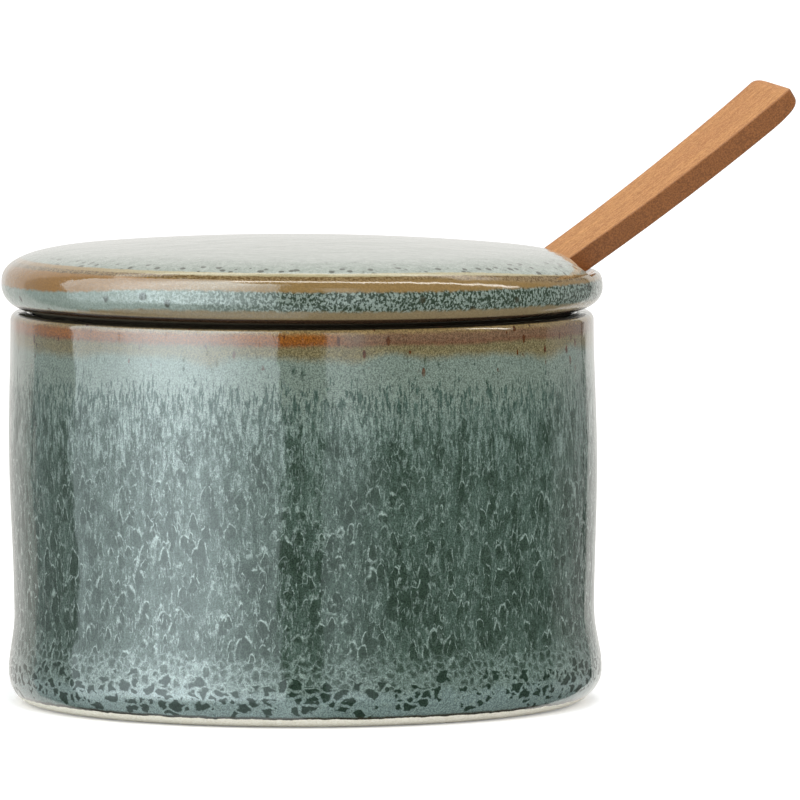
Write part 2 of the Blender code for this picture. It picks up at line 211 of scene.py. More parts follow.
def jar_profile():
    """Rows (r, z) from the middle of the floor up the inside, over the rim and down to the foot."""
    round_r = MOUTH_RADIUS - FLOOR_CORNER_ROUND
    round_z = FLOOR_THICKNESS + FLOOR_CORNER_ROUND
    mouth_z = JAR_HEIGHT - MOUTH_EDGE_ROUND
    edge_z = JAR_HEIGHT - RIM_EDGE_ROUND
    edge_r = wall_radius(edge_z) - RIM_EDGE_ROUND
    heights = np.linspace(edge_z, BASE_FLARE_HEIGHT, 60)
    corner_r = wall_radius(BASE_FLARE_HEIGHT) - BASE_CORNER_ROUND
    return np.vstack([
        line((0.0, FLOOR_THICKNESS), (round_r, FLOOR_THICKNESS), 12),
        arc(round_r, round_z, FLOOR_CORNER_ROUND, FLOOR_CORNER_ROUND, -90, 0, 12),
        line((MOUTH_RADIUS, round_z), (MOUTH_RADIUS, mouth_z), 16),
        arc(MOUTH_RADIUS + MOUTH_EDGE_ROUND, mouth_z, MOUTH_EDGE_ROUND, MOUTH_EDGE_ROUND, 180, 90, 8),
        arc(edge_r, edge_z, RIM_EDGE_ROUND, RIM_EDGE_ROUND, 90, 0, 10),
        np.stack([wall_radius(heights), heights], axis=1),
        arc(corner_r, BASE_FLARE_HEIGHT, BASE_CORNER_ROUND, BASE_FLARE_HEIGHT, 0, -80, 22),
        line((FOOT_RADIUS, 0.0), (0.0, 0.0), 12),
    ])


def crown_height(radius):
    """The lid's crown: its middle height less its rise times the square of the radius's share."""
    return LID_BASE + LID_THICKNESS - LID_CROWN_RISE * (radius / SHOULDER_RADIUS) ** 2


def lid_top_height(radius):
    """The lid's top: a superellipse brings the crown down to the widest ring, (1 - a^m)^(1/n) of it left."""
    across = np.maximum(0.0, radius - SHOULDER_RADIUS) / LID_SHOULDER_WIDTH
    share = np.maximum(0.0, 1 - across**SHOULDER_ACROSS) ** (1 / SHOULDER_DOWN)
    return LID_WIDEST + (crown_height(radius) - LID_WIDEST) * share


def lid_profile():
    """Rows (r, z) from the crown over the shoulder, round the flange and up into the hollow."""
    crown = np.linspace(0, SHOULDER_RADIUS, 30)
    turn = np.linspace(0, math.pi / 2, 65)
    shoulder = SHOULDER_RADIUS + LID_SHOULDER_WIDTH * np.sin(turn) ** (2 / SHOULDER_ACROSS)
    share = np.clip(np.cos(turn), 0, 1) ** (2 / SHOULDER_DOWN)
    drop = LID_WIDEST + (crown_height(shoulder) - LID_WIDEST) * share
    under_r = LID_RADIUS - LID_UNDERCUT_WIDTH
    flange_r = MOUTH_RADIUS - FLANGE_PLAY
    inner_r = flange_r - FLANGE_THICKNESS
    flange_z = LID_BASE - FLANGE_DEPTH + FLANGE_EDGE_ROUND
    corner_r = inner_r - HOLLOW_CORNER_ROUND
    corner_z = crown_height(corner_r) - LID_WALL - HOLLOW_CORNER_ROUND
    hollow = np.linspace(corner_r, 0, 14)
    return np.vstack([
        np.stack([crown, crown_height(crown)], axis=1),
        np.stack([shoulder, drop], axis=1),
        arc(under_r, LID_WIDEST, LID_UNDERCUT_WIDTH, LID_UNDERCUT_RISE, 0, -90, 22),
        line((flange_r, LID_BASE), (flange_r, flange_z), 4),
        arc(flange_r - FLANGE_EDGE_ROUND, flange_z, FLANGE_EDGE_ROUND, FLANGE_EDGE_ROUND, 0, -90, 5),
        arc(inner_r + FLANGE_EDGE_ROUND, flange_z, FLANGE_EDGE_ROUND, FLANGE_EDGE_ROUND, -90, -180, 5),
        line((inner_r, flange_z), (inner_r, corner_z), 5),
        arc(corner_r, corner_z, HOLLOW_CORNER_ROUND, HOLLOW_CORNER_ROUND, 0, 90, 10),
        np.stack([hollow, crown_height(hollow) - LID_WALL], axis=1),
    ])


def lid_lean(x, height):
    """How far the lid sinks towards its slot: in step with x, none at its seat and all at its widest."""
    return LID_LEAN * x / LID_RADIUS * np.clip((height - LID_BASE) / LID_UNDERCUT_RISE, 0, 1)


def lid_surface(x, y):
    """Height of the leaning lid's top over a point."""
    height = lid_top_height(np.hypot(x, y))
    return height - lid_lean(x, height)


def slot_ends():
    """The slot's chord and lip: square to the slant, the slot holds the rolled handle and its room."""
    height = HANDLE_THICKNESS * math.cos(SPOON_ROLL) + HANDLE_WIDTH * math.sin(SPOON_ROLL) + SLOT_TOP_ROOM
    lip = LID_RADIUS - SLOT_LIP_INSET
    near, far = 0.0, lip
    for _ in range(HALVINGS):
        chord = (near + far) / 2
        rise = lid_surface(chord, 0.0) - lid_surface(lip, 0.0)
        if (lip - chord) * math.sin(SPOON_TILT) + rise * math.cos(SPOON_TILT) > height:
            near = chord
        else:
            far = chord
    return chord, lip


def slot_outline(flare):
    """Rows (x, y) of the slot grown by a flare: the lip's arc, a round corner, the chord, a round corner."""
    chord, lip = slot_ends()
    corner_x = chord + SLOT_CORNER_ROUND
    corner_y = math.sqrt((lip - SLOT_CORNER_ROUND) ** 2 - corner_x**2)
    reach = math.degrees(math.atan2(corner_y, corner_x))
    size = SLOT_CORNER_ROUND + flare
    return np.vstack([
        arc(0.0, 0.0, lip + flare, lip + flare, -reach, reach, 72),
        arc(corner_x, corner_y, size, size, reach, 180, 10)[1:],
        line((chord - flare, corner_y), (chord - flare, -corner_y), 72)[1:],
        arc(corner_x, -corner_y, size, size, 180, 360 - reach, 10)[1:-1],
    ])


def slot_rings():
    """Rings of the slot's cutter: the outline laid on the lid's top and sunk along the handle's slant.

    Near the top the flare is 1 - sin a of the edge's rounding at the depth 1 - cos a of it. The first
    ring stands above the lid, so that the cutter's flat cap stays clear of the dome.
    """
    deepest = (LID_THICKNESS + FLANGE_DEPTH + OVERRUN) / math.sin(SPOON_TILT)
    angles = np.radians((8, 20, 32, 44, 56, 68, 80, 90))
    flares = [SLOT_EDGE_ROUND, *SLOT_EDGE_ROUND * (1 - np.sin(angles)), 0.0]
    depths = [-LID_THICKNESS, *SLOT_EDGE_ROUND * (1 - np.cos(angles)), deepest]
    rings = []
    for flare, depth in zip(flares, depths):
        x, y = slot_outline(flare).T
        z = lid_surface(x, y) - depth * math.sin(SPOON_TILT)
        rings.append(np.stack([x - depth * math.cos(SPOON_TILT), y, z], axis=1))
    return np.array(rings)


def finished_mesh(name, points, faces):
    """A smooth-shaded mesh whose faces all look outwards."""
    mesh = bpy.data.meshes.new(name)
    mesh.from_pydata(points.tolist(), [], faces)
    shape = bmesh.new()
    shape.from_mesh(mesh)
    bmesh.ops.recalc_face_normals(shape, faces=shape.faces)
    shape.to_mesh(mesh)
    shape.free()
    mesh.shade_smooth()
    mesh.set_sharp_from_angle(angle=CREASE)
    return mesh


def grid_faces(rows, columns):
    """Quads of a grid whose columns close on themselves, as an array of four indices each."""
    row, column = np.meshgrid(np.arange(rows - 1), np.arange(columns), indexing="ij")
    after = (column + 1) % columns
    quads = np.stack([row * columns + column, row * columns + after], axis=-1)
    quads = np.concatenate([quads, quads[..., ::-1] + columns], axis=-1)
    return quads.reshape(-1, 4)


def turned_body(profile, steps):
    """Points and faces of a body of revolution: row (r, z) at angle a lies at (r cos a, r sin a, z)."""
    apart = np.linalg.norm(np.diff(profile, axis=0), axis=1) > SAME_POINT
    rows = profile[np.concatenate([[True], apart])]
    angles = np.linspace(0, 2 * math.pi, steps, endpoint=False)
    inner = rows[1:-1]
    x = inner[:, :1] * np.cos(angles)
    y = inner[:, :1] * np.sin(angles)
    z = np.broadcast_to(inner[:, 1:], x.shape)
    poles = [(0.0, 0.0, rows[0, 1]), (0.0, 0.0, rows[-1, 1])]
    points = np.vstack([np.stack([x, y, z], axis=-1).reshape(-1, 3), poles])
    around = np.arange(steps)
    after = (around + 1) % steps
    last = (len(inner) - 1) * steps
    first_fan = np.stack([np.full(steps, len(points) - 2), around, after], axis=1)
    last_fan = np.stack([np.full(steps, len(points) - 1), last + after, last + around], axis=1)
    faces = grid_faces(len(inner), steps).tolist() + first_fan.tolist() + last_fan.tolist()
    return points, faces


def lofted_mesh(name, rings):
    """A closed skin over rings of equal length, capped at both ends."""
    rows, columns = rings.shape[:2]
    faces = grid_faces(rows, columns).tolist()
    ends = np.arange(columns)
    faces += [ends[::-1].tolist(), (ends + (rows - 1) * columns).tolist()]
    return finished_mesh(name, rings.reshape(-1, 3), faces)


def linked(name, data):
    """A new object in the scene."""
    made = bpy.data.objects.new(name, data)
    bpy.context.scene.collection.objects.link(made)
    return made


def jar_mesh(steps):
    """The turned jar, whose outer wall wanders towards the picture's right by a share of a millimetre."""
    points, faces = turned_body(jar_profile(), steps)
    outer = np.hypot(points[:, 0], points[:, 1]) > MOUTH_RADIUS + RIM_EDGE_ROUND
    amount = np.interp(points[:, 2], DRIFT_HEIGHTS, DRIFTS) * outer
    points[:, 0] += amount * math.cos(PHOTO_TURN)
    points[:, 1] -= amount * math.sin(PHOTO_TURN)
    return finished_mesh("jar_look", points, faces)


def lid_mesh(steps):
    """The turned lid, leaned towards its slot, with the slot cut out of it."""
    points, faces = turned_body(lid_profile(), steps)
    points[:, 2] -= lid_lean(points[:, 0], points[:, 2])
    lid = linked("carving", finished_mesh("lid_look", points, faces))
    cutter = linked("cutter", lofted_mesh("cutter", slot_rings()))
    cut = lid.modifiers.new("slot", "BOOLEAN")
    cut.operation = "DIFFERENCE"
    cut.solver = "EXACT"
    cut.object = cutter
    bpy.context.view_layer.update()
    graph = bpy.context.evaluated_depsgraph_get()
    mesh = bpy.data.meshes.new_from_object(lid.evaluated_get(graph))
    for thing in (lid, cutter):
        bpy.data.objects.remove(thing)
    mesh.name = "lid_look"
    mark_slot(mesh)
    mesh.materials.clear()
    mesh.shade_smooth()
    mesh.set_sharp_from_angle(angle=CREASE)
    return mesh


def mark_slot(mesh):
    """Marks the slot's walls: faces near it, above the seat, whose normal is square to the handle's slant."""
    centres = np.empty(len(mesh.polygons) * 3, dtype=np.float32)
    normals = np.empty_like(centres)
    mesh.polygons.foreach_get("center", centres)
    mesh.polygons.foreach_get("normal", normals)
    x, _, z = centres.reshape(-1, 3).T
    slant = np.array((math.cos(SPOON_TILT), 0.0, math.sin(SPOON_TILT)))
    square = np.abs(normals.reshape(-1, 3) @ slant) < SQUARE_ENOUGH
    walls = square & (x > slot_ends()[0] - LID_WALL) & (z > LID_BASE + OVERRUN)
    slot = mesh.attributes.new("slot", "FLOAT", "FACE")
    slot.data.foreach_set("value", walls.astype(np.float32))


def tip_share(along):
    """How far the bowl's rounded tip has widened: a quarter circle over half the bowl."""
    rest = 1 - np.minimum(1.0, along / (BOWL_LENGTH / 2))
    return np.sqrt(1 - rest**2)


def bowl_share(along):
    """How far into the bowl a station is: a half circle over its length, 1 in its middle."""
    middle = BOWL_LENGTH / 2
    return np.sqrt(np.maximum(0.0, 1 - ((along - middle) / middle) ** 2))


def spoon_half_width(along):
    """Half the spoon's width: the fourth root of the summed fourth powers of handle and bowl, halved."""
    stations = (0.0, BOWL_LENGTH, HANDLE_BOW_START, SPOON_LENGTH)
    handle = np.interp(along, stations, (NECK_WIDTH, NECK_WIDTH, HANDLE_WIDTH, HANDLE_END_WIDTH))
    into = np.clip((along - SPOON_LENGTH + HANDLE_END_ROUND) / HANDLE_END_ROUND, 0, 1)
    handle = handle * (1 - into**END_CORNER) ** (1 / END_CORNER) * tip_share(along)
    bowl = BOWL_WIDTH * bowl_share(along)
    return (handle**WIDTH_BLEND + bowl**WIDTH_BLEND) ** (1 / WIDTH_BLEND) / 2


def spoon_rings(along, steps, nose):
    """The spoon's skin over its length and an angle: (length, across, height) in its own axes.

    Across and height are cosine and sine to the power 2/n, n falling from the crisp handle to the oval
    bowl. The bowl is hollowed by a parabola and dropped, and the handle rises by length squared over 2R.
    At the end the top falls by a quarter circle over the nose, and the bottom rises by one over its undercut.
    """
    along = along[:, None]
    angle = np.linspace(0, 2 * math.pi, steps, endpoint=False)[None, :]
    blend = np.where(along < BOWL_LENGTH, bowl_share(along), 0.0)
    half_width = spoon_half_width(along)
    into = np.clip((along - SPOON_LENGTH + nose) / nose, 0, 1)
    left = END_TOP_SHARE + (0.5 - END_TOP_SHARE) * np.sqrt(1 - into**2)
    top = HANDLE_THICKNESS * left * tip_share(along)
    into = np.clip((along - SPOON_LENGTH + HANDLE_END_UNDERCUT) / HANDLE_END_UNDERCUT, 0, 1)
    left = END_BOTTOM_SHARE + (0.5 - END_BOTTOM_SHARE) * np.sqrt(1 - into**2)
    bottom = np.where(into > 0, HANDLE_THICKNESS * left, top + BOWL_BELLY * blend)
    oval = np.minimum(1.0, blend * OVAL_ONSET)
    power = 2 / (HANDLE_SECTION + (BOWL_SECTION - HANDLE_SECTION) * oval)
    across = np.sign(np.cos(angle)) * np.abs(np.cos(angle)) ** power * half_width
    level = np.sign(np.sin(angle)) * np.abs(np.sin(angle)) ** power
    inner = np.maximum(half_width - BOWL_RIM, SAME_POINT)
    dish = BOWL_HOLLOW * blend**2 * np.maximum(0.0, 1 - (across / inner) ** 2)
    height = np.where(level > 0, level * top - dish, level * bottom)
    rise = np.maximum(0.0, along - HANDLE_BOW_START) ** 2 / (2 * HANDLE_BOW_RADIUS)
    height = height + rise - BOWL_DROP * np.sin(math.pi / 2 * blend)
    return np.stack(np.broadcast_arrays(along, across, height), axis=-1)


def spoon_stations():
    """Lengths from the bowl's tip, closer where the bowl and the handle's end are round."""
    bowl = BOWL_LENGTH / 2 * (1 - np.cos(np.linspace(0, math.pi, 49)))
    straight = np.linspace(BOWL_LENGTH, HANDLE_BOW_START, 13)[1:]
    bowed = np.linspace(HANDLE_BOW_START, SPOON_LENGTH - HANDLE_END_ROUND, 25)[1:]
    end = SPOON_LENGTH - HANDLE_END_ROUND * (1 - np.sin(np.linspace(0, math.pi / 2, 18)[1:-1]))
    return np.concatenate([bowl, straight, bowed, end, [SPOON_LENGTH - END_STOP]])


def spoon_matrix(inside_length):
    """Places the spoon with its near lower edge on the slot's lip, this far up from the bowl's tip."""
    along = Vector((math.cos(SPOON_TILT), 0.0, math.sin(SPOON_TILT)))
    across = Matrix.Rotation(SPOON_ROLL, 3, along) @ Vector((0.0, 1.0, 0.0))
    normal = along.cross(across)
    lip = slot_ends()[1]
    rest_x = math.sqrt(lip**2 - SPOON_SIDE_REST**2)
    rest = Vector((rest_x, -SPOON_SIDE_REST, lid_surface(rest_x, SPOON_SIDE_REST)))
    edge = rest + Vector((-math.sin(SPOON_TILT), 0.0, math.cos(SPOON_TILT))) * SEAT_GAP
    origin = edge + across * float(spoon_half_width(inside_length)) + normal * (HANDLE_THICKNESS / 2)
    origin -= along * inside_length
    return Matrix.Translation(origin) @ Matrix((along, across, normal)).transposed().to_4x4()


def seated_length():
    """The spoon's length below the lip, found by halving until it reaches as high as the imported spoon."""
    ends = np.linspace(SPOON_LENGTH - 2 * HANDLE_END_ROUND, SPOON_LENGTH - END_STOP, 40)
    points = spoon_rings(ends, 32, SAME_POINT).reshape(-1, 3)
    short, long = BOWL_LENGTH, SPOON_LENGTH
    for _ in range(HALVINGS):
        middle = (short + long) / 2
        placed = np.array(spoon_matrix(middle))
        if (points @ placed[2, :3] + placed[2, 3]).max() > SPOON_TOP:
            short = middle
        else:
            long = middle
    return short


def spoon_mesh():
    """The spoon in place, with each point's own length, across and height kept for the wood's grain.

    Towards its end the far side grows shorter and the near side longer, by the square of a ramp.
    """
    rings = spoon_rings(spoon_stations(), SPOON_STEPS, HANDLE_END_NOSE)
    ramp = np.clip((rings[:, :, 0] - SPOON_LENGTH + HANDLE_END_SKEW_LENGTH) / HANDLE_END_SKEW_LENGTH, 0, 1)
    side = rings[:, :, 1] / (HANDLE_END_WIDTH / 2)
    rings[:, :, 0] -= ramp**2 * (HANDLE_END_SHORTER + HANDLE_END_SKEW * side)
    mesh = lofted_mesh("spoon_look", rings)
    grain = mesh.attributes.new("grain", "FLOAT_VECTOR", "POINT")
    grain.data.foreach_set("vector", (rings / MM).astype(np.float32).ravel())
    # How far out on its flank each point lies, for the painted shade that darkens the spoon's sides
    widths = spoon_half_width(rings[:, :, 0])
    share = np.abs(rings[:, :, 1]) / np.maximum(widths, SAME_POINT)
    share = np.clip((share - SHADED_FLANK_START) / SHADED_FLANK_SOFTNESS, 0, 1)
    flank = mesh.attributes.new("flank", "FLOAT", "POINT")
    flank.data.foreach_set("value", share.astype(np.float32).ravel())
    mesh.transform(spoon_matrix(seated_length()))
    return mesh


# Shader nodes


def tone(red, green, blue):
    """A colour written in 8-bit display values, turned into the linear ones that a property holds."""
    values = np.array((red, green, blue)) / 255
    return tuple(np.where(values <= 0.04045, values / 12.92, ((values + 0.055) / 1.055) ** 2.4).tolist())


class Tree:
    """Adds and wires the nodes of one tree. An argument is another node's output, a colour or a number."""

    def __init__(self, tree):
        self.tree = tree

    def put(self, socket, value):
        if isinstance(value, bpy.types.NodeSocket):
            self.tree.links.new(value, socket)
        elif socket.type == "RGBA":
            socket.default_value = (*value[:3], 1.0)
        else:
            socket.default_value = value

    def node(self, kind, values=(), **settings):
        """A node with its settings, and the values of its sockets by name."""
        made = self.tree.nodes.new(kind)
        for name, value in settings.items():
            setattr(made, name, value)
        for name, value in dict(values).items():
            self.put(made.inputs[name], value)
        return made

    def fed(self, made, *values):
        """A node's first output, once its first sockets have these values."""
        for socket, value in zip(made.inputs, values):
            self.put(socket, value)
        return made.outputs[0]

    def math(self, operation, *values):
        return self.fed(self.node("ShaderNodeMath", operation=operation), *values)

    def product(self, *values):
        result = values[0]
        for value in values[1:]:
            result = self.math("MULTIPLY", result, value)
        return result

    def scaled(self, value, factor, offset):
        """A value times a factor, plus an offset."""
        return self.math("MULTIPLY_ADD", value, factor, offset)

    def vector(self, operation, a, b):
        """One operation on two vectors. A linked number counts as three equal ones."""
        return self.fed(self.node("ShaderNodeVectorMath", operation=operation), a, b)

    def squeezed(self, vector, share):
        """Coordinates whose height counts for a share, so that noise read there runs upwards."""
        return self.vector("MULTIPLY", vector, (1.0, 1.0, share))

    def split(self, vector):
        return self.node("ShaderNodeSeparateXYZ", {"Vector": vector}).outputs

    def noise(self, vector, scale, detail=2.0, roughness=0.5, distortion=0.0, output="Fac"):
        """Soft noise about 0.5."""
        values = {"Vector": vector, "Scale": scale, "Detail": detail, "Roughness": roughness}
        return self.node("ShaderNodeTexNoise", {**values, "Distortion": distortion}).outputs[output]

    def voronoi(self, vector, feature="F1"):
        return self.node("ShaderNodeTexVoronoi", {"Vector": vector, "Scale": 1.0}, feature=feature).outputs

    def ease(self, value, low, high, start=0.0, end=1.0):
        """start at low, end at high, and a smooth step between them."""
        made = self.node("ShaderNodeMapRange", interpolation_type="SMOOTHSTEP")
        return self.fed(made, value, low, high, start, end)

    def between(self, value, low, high, soft_low, soft_high):
        """1 from low to high, falling to 0 within a softness of each."""
        start = self.ease(value, low - soft_low, low + soft_low)
        return self.product(start, self.ease(value, high + soft_high, high - soft_high))

    def mix(self, share, a, b):
        """Colour a, or b where the share is 1."""
        made = self.node("ShaderNodeMix", data_type="RGBA")
        sockets = {socket.identifier: socket for socket in made.inputs}
        self.put(sockets["Factor_Float"], share)
        self.put(sockets["A_Color"], a)
        self.put(sockets["B_Color"], b)
        return next(socket for socket in made.outputs if socket.identifier == "Result_Color")

    def mottle(self, value, a, b):
        """Colour a, then b, over the middle of a noise's range."""
        return self.mix(self.ease(value, 0.3, 0.7), a, b)

    def banded(self, colour, *bands):
        """A colour under bands, each a value, where its edge starts and ends, and the band's colour."""
        for value, low, high, tint in bands:
            colour = self.mix(self.ease(value, low, high), colour, tint)
        return colour

    def ridge(self, value, level, width):
        """A thin line where a noise crosses a level: 1 on it, 0 a width away."""
        return self.ease(self.math("ABSOLUTE", self.math("SUBTRACT", value, level)), 0.0, width, 1.0, 0.0)

    def bump(self, height, millimetres, **values):
        """A normal bent by a height whose whole range stands for so many millimetres."""
        values = {"Height": height, "Distance": millimetres * MM, **values}
        return self.node("ShaderNodeBump", values).outputs[0]

    def group(self, name, **values):
        """One of the shared groups, with its own values."""
        return self.node("ShaderNodeGroup", values, node_tree=bpy.data.node_groups[name]).outputs


def floats(*names):
    """Number sockets by name."""
    return dict.fromkeys(names, "NodeSocketFloat")


def new_group(name, inputs, outputs):
    """A shader group that takes a place and more inputs: its tree, its entry and its exit."""
    group = bpy.data.node_groups.new(name, "ShaderNodeTree")
    for label, kind in {"Vector": "NodeSocketVector", **inputs}.items():
        group.interface.new_socket(label, in_out="INPUT", socket_type=kind)
    for label, kind in outputs.items():
        group.interface.new_socket(label, in_out="OUTPUT", socket_type=kind)
    tree = Tree(group)
    return tree, tree.node("NodeGroupInput").outputs, tree.node("NodeGroupOutput").inputs


def cell_scale(tree, entry, size):
    """One over the size of a cell, and the scale that makes such cells, stretched upwards."""
    wide = tree.math("DIVIDE", 1.0, entry[size])
    tall = tree.math("DIVIDE", wide, entry["Stretch"])
    return wide, tree.node("ShaderNodeCombineXYZ", {"X": wide, "Y": wide, "Z": tall}).outputs[0]


def add_cells_group():
    """Cells of a size in millimetres, stretched upwards and warped.

    Thread is the light line round a cell, brightest at its top, and Inside its dark middle. Drop is an
    oval inside the cell, narrower at its top, and Arch the line over it. Chance is a random number per
    cell, and Level is the height of its centre.
    """
    outputs = floats("Thread", "Inside", "Drop", "Arch", "Chance", "Level")
    tree, entry, leave = new_group("glaze_cells", floats("Size", "Stretch", "Width", "Warp"), outputs)
    place = tree.vector("MULTIPLY", entry["Vector"], cell_scale(tree, entry, "Size")[1])
    wobble = tree.vector("SUBTRACT", tree.noise(place, 1.3, 1.5, output="Color"), (0.5, 0.5, 0.5))
    bent = tree.vector("ADD", place, tree.vector("MULTIPLY", wobble, entry["Warp"]))
    edge = tree.voronoi(bent, feature="DISTANCE_TO_EDGE")["Distance"]
    cell = tree.voronoi(bent)
    side, depth, up = tree.split(tree.vector("SUBTRACT", bent, cell["Position"]))
    across = tree.math("ADD", tree.product(side, side), tree.product(depth, depth))
    narrow = tree.product(across, tree.math("POWER", tree.scaled(up, 0.9, 1.0), 2.0))
    far = tree.math("SQRT", tree.scaled(up, up, narrow))
    centre = tree.product(tree.split(cell["Position"])["Z"], entry["Size"], entry["Stretch"])
    line_share = tree.ease(edge, tree.math("MULTIPLY", entry["Width"], 0.3), entry["Width"], 1.0, 0.0)
    tree.put(leave["Thread"], tree.product(line_share, tree.ease(up, -0.45, 0.3, 0.2, 1.0)))
    inside = tree.ease(edge, entry["Width"], tree.math("MULTIPLY", entry["Width"], 2.2))
    tree.put(leave["Inside"], tree.product(inside, tree.ease(cell["Distance"], 0.68, 0.56)))
    tree.put(leave["Drop"], tree.ease(far, 0.42, 0.35))
    arch = tree.ridge(far, 0.43, tree.math("MULTIPLY", entry["Width"], 0.7))
    tree.put(leave["Arch"], tree.product(arch, tree.ease(up, -0.3, 0.15, 0.1, 1.0)))
    tree.put(leave["Chance"], tree.split(cell["Color"])["X"])
    tree.put(leave["Level"], centre)


def add_dots_group():
    """Scattered dots: one chance per cell of a spacing, drawn as a warped disc of a radius."""
    inputs = floats("Spacing", "Radius", "Share", "Stretch")
    tree, entry, leave = new_group("glaze_dots", inputs, floats("Dot"))
    wide, scale = cell_scale(tree, entry, "Spacing")
    wobble = tree.noise(entry["Vector"], 1.1, 1.0, output="Color")
    wobble = tree.vector("MULTIPLY", wobble, (0.5, 0.5, 0.5))
    cell = tree.voronoi(tree.vector("MULTIPLY", tree.vector("ADD", entry["Vector"], wobble), scale))
    reach = tree.product(entry["Radius"], wide)
    disc = tree.ease(cell["Distance"], tree.product(reach, 0.75), tree.product(reach, 1.2), 1.0, 0.0)
    absent = tree.math("SUBTRACT", 1.0, entry["Share"])
    present = tree.math("GREATER_THAN", tree.split(cell["Color"])["Y"], absent)
    tree.put(leave["Dot"], tree.product(disc, present))


def add_grain_group():
    """A fine speckle: the colour times a noise from one less an amount to one and the amount."""
    inputs = {"Color": "NodeSocketColor", **floats("Amount")}
    tree, entry, leave = new_group("fine_grain", inputs, {"Color": "NodeSocketColor"})
    speckle = tree.noise(entry["Vector"], 3.5, 2.0, 0.8)
    least, most = (tree.math(operation, 1.0, entry["Amount"]) for operation in ("SUBTRACT", "ADD"))
    factor = tree.ease(speckle, 0.34, 0.66, least, most)
    tree.put(leave["Color"], tree.vector("MULTIPLY", entry["Color"], factor))


def add_skin_group():
    """The glaze's surface as one normal: slow swells, a fine orange peel, and the pattern's relief."""
    tree, entry, leave = new_group("glaze_skin", floats("Relief"), {"Normal": "NodeSocketVector"})
    swell = tree.noise(tree.squeezed(entry["Vector"], 0.5), 0.12)
    peel = tree.noise(entry["Vector"], 0.8)
    normal = tree.bump(peel, 0.008, Normal=tree.bump(swell, 0.22))
    tree.put(leave["Normal"], tree.bump(entry["Relief"], 0.006, Normal=normal))


def new_material(name):
    """A material's tree, its shader, and the piece's own coordinates in millimetres."""
    material = bpy.data.materials.new(name)
    material.use_nodes = True
    tree = Tree(material.node_tree)
    own = tree.node("ShaderNodeTexCoord").outputs["Object"]
    place = tree.vector("MULTIPLY", own, (1 / MM,) * 3)
    return material, tree, material.node_tree.nodes["Principled BSDF"], place


def finish_glaze(tree, shader, looks, place, relief, bare):
    """A glaze's gloss: a plain base layer under a coat that is fuller on light threads than on the dark."""
    tree.put(shader.inputs["Roughness"], tree.scaled(bare, BARE_ROUGHNESS, looks.glaze_roughness))
    shader.inputs["IOR"].default_value = GLAZE_IOR
    coat = tree.product(tree.scaled(relief, 1 - DARK_COAT, DARK_COAT), tree.math("SUBTRACT", 1.0, bare))
    tree.put(shader.inputs["Coat Weight"], coat)
    shader.inputs["Coat Roughness"].default_value = COAT_ROUGHNESS
    shader.inputs["Coat IOR"].default_value = COAT_IOR
    normal = tree.group("glaze_skin", Vector=place, Relief=relief)["Normal"]
    tree.put(shader.inputs["Normal"], normal)
    tree.put(shader.inputs["Coat Normal"], normal)


def measures(tree, place):
    """A point's x, height, distance from the axis, and distance towards the picture's right."""
    x, y, height = tree.split(place)
    radius = tree.math("SQRT", tree.math("ADD", tree.product(x, x), tree.product(y, y)))
    turned = tree.scaled(x, math.cos(PHOTO_TURN), tree.math("MULTIPLY", y, -math.sin(PHOTO_TURN)))
    return x, height, radius, turned


def dots(tree, place, spacing, radius, share, stretch):
    """The mask of the shared group of scattered dots."""
    values = {"Spacing": spacing, "Radius": radius, "Share": share, "Stretch": stretch}
    return tree.group("glaze_dots", Vector=place, **values)["Dot"]


def jar_streaks(tree, looks, place, height, clump):
    """Dark ground, light filaments that close up into the pale band above, strands and dark slivers."""
    filament = tree.noise(tree.squeezed(place, 0.22), 1.7, 3.0, 0.6, 0.6)
    value = tree.scaled(clump, 0.45, filament)
    for start, end, rise in ((49.0, 60.0, 0.25), (32.0, 53.0, 0.09)):
        value = tree.math("ADD", value, tree.ease(height, start, end, 0.0, rise))
    ground = tree.mix(tree.ease(clump, 0.27, 0.6), looks.glaze_dark, looks.glaze_mid)
    light = tree.mix(tree.ease(height, *PALE_BAND), looks.glaze_light, looks.glaze_pale)
    fullness = tree.ease(height, 38.0, 54.0, 0.34, 1.0)
    colour = tree.mix(tree.product(tree.ease(value, 0.76, 0.98), fullness), ground, light)
    for stretch, size, bend in ((0.2, 1.1, 0.8), (0.28, 0.75, 1.2)):
        strand = tree.noise(tree.squeezed(place, stretch), size, 2.0, 0.6, bend)
        broken = tree.noise(tree.squeezed(place, 0.5), size * 0.9)
        strand = tree.product(tree.ridge(strand, 0.5, 0.035), tree.ease(broken, 0.48, 0.58, 0.0, 0.75))
        strand = tree.product(strand, tree.ease(height, 60.0, 54.0))
        colour = tree.mix(strand, colour, tone(122, 140, 132))
    sliver = tree.noise(tree.squeezed(place, 0.2), 2.4, 2.0, 0.6, 0.4)
    reach = tree.ease(height, 62.6, 55.0, 0.32, 0.52)
    sliver = tree.ease(sliver, reach, tree.math("SUBTRACT", reach, 0.07))
    sliver = tree.product(sliver, tree.ease(height, 48.0, 56.0), 0.85)
    colour = tree.mix(sliver, colour, tone(54, 74, 66))
    return colour


def jar_drops(tree, looks, place, colour):
    """Dark ovals under broken light arches, large and small."""
    gaps = tree.ease(tree.noise(place, 0.8), 0.42, 0.54)
    for size, stretch, least, top in DROPS:
        cells = tree.group("glaze_cells", Vector=place, Size=size, Stretch=stretch, Width=0.12, Warp=0.8)
        chance = tree.ease(cells["Chance"], least, least + 0.3)
        here = tree.product(chance, tree.ease(cells["Level"], top, 34.0))
        colour = tree.mix(tree.product(cells["Drop"], here, 0.75), colour, looks.glaze_dark)
        colour = tree.mix(tree.product(cells["Arch"], here, gaps), colour, tone(132, 150, 142))
    return colour


